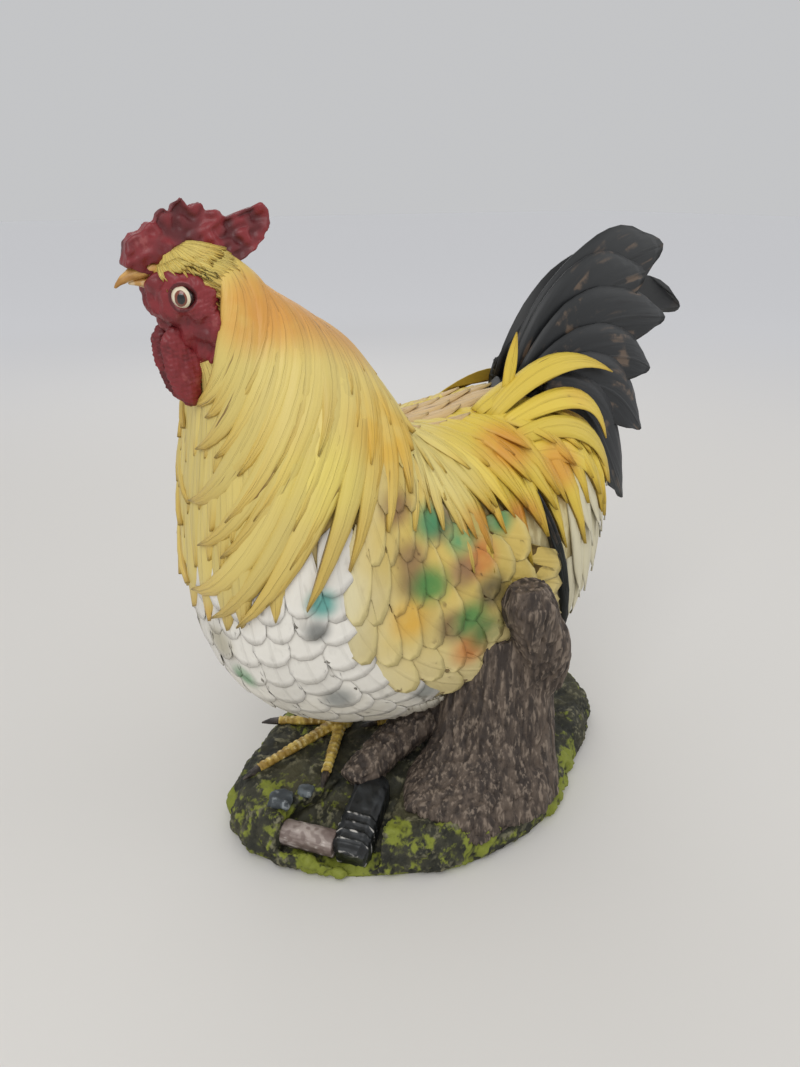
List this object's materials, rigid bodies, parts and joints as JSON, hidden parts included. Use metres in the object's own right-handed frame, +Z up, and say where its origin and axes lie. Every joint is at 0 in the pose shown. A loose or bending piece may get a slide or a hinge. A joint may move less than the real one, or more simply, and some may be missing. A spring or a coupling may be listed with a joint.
{
  "type": "rooster figure",
  "caption": "Painted cast garden rooster with layered feather relief, standing on a mossy base beside a tree stump and a hatchet.",
  "frame": {"origin": "in the underside of the base, under the middle of its outline", "axes": "+Z up, head towards -X, tail towards +X, the bird's left side faces -Y"},
  "size_m": [0.4472, 0.2295, 0.415],
  "materials": {
    "cream_feathers": "satin",
    "neck_feathers": "satin",
    "wing_feathers": "satin",
    "saddle_feathers": "satin",
    "back_feathers": "satin",
    "tail_feathers": "satin",
    "red_skin": "satin",
    "beak_horn": "satin",
    "eye": "gloss",
    "leg_scales": "satin",
    "claw": "satin",
    "moss_ground": "matte",
    "bark": "matte",
    "haft_wood": "matte",
    "hatchet_iron": "satin",
    "stone_grey": "matte",
    "rod_steel": "satin",
    "dowel_wood": "matte"
  },
  "bodies": {
    "root": {"body_shell": "cream_feathers", "breast_row_1": "cream_feathers", "breast_row_2": "cream_feathers", "breast_row_3": "cream_feathers", "breast_row_4": "cream_feathers", "breast_row_5": "cream_feathers", "belly_hem_left": "cream_feathers", "belly_hem_right": "cream_feathers", "fluff_left": "cream_feathers", "fluff_right": "cream_feathers", "hackle_lower": "neck_feathers", "hackle_middle": "neck_feathers", "hackle_upper": "neck_feathers", "wing_coverts_left": "wing_feathers", "wing_coverts_right": "wing_feathers", "wing_primaries_left": "wing_feathers", "wing_primaries_right": "wing_feathers", "saddle_lower_left": "saddle_feathers", "saddle_lower_right": "saddle_feathers", "saddle_upper_left": "saddle_feathers", "saddle_upper_right": "saddle_feathers", "back_ridge": "back_feathers", "tail_core": "tail_feathers", "tail_feathers_left": "tail_feathers", "tail_feathers_right": "tail_feathers", "comb": "red_skin", "face_left": "red_skin", "face_right": "red_skin", "wattle_left": "red_skin", "wattle_right": "red_skin", "beak_upper": "beak_horn", "beak_lower": "beak_horn", "eye_left": "eye", "eye_right": "eye", "foot_left": "leg_scales", "foot_right": "leg_scales", "leg_left": "leg_scales", "leg_right": "leg_scales", "claws_left": "claw", "claws_right": "claw", "base": "moss_ground", "stump": "bark", "branch_stub": "bark", "arched_root": "bark", "hatchet_haft": "haft_wood", "hatchet_head": "hatchet_iron", "stones": "stone_grey", "leg_rod_left": "rod_steel", "leg_rod_right": "rod_steel", "tail_dowel": "dowel_wood"}
  },
  "joints": []
}
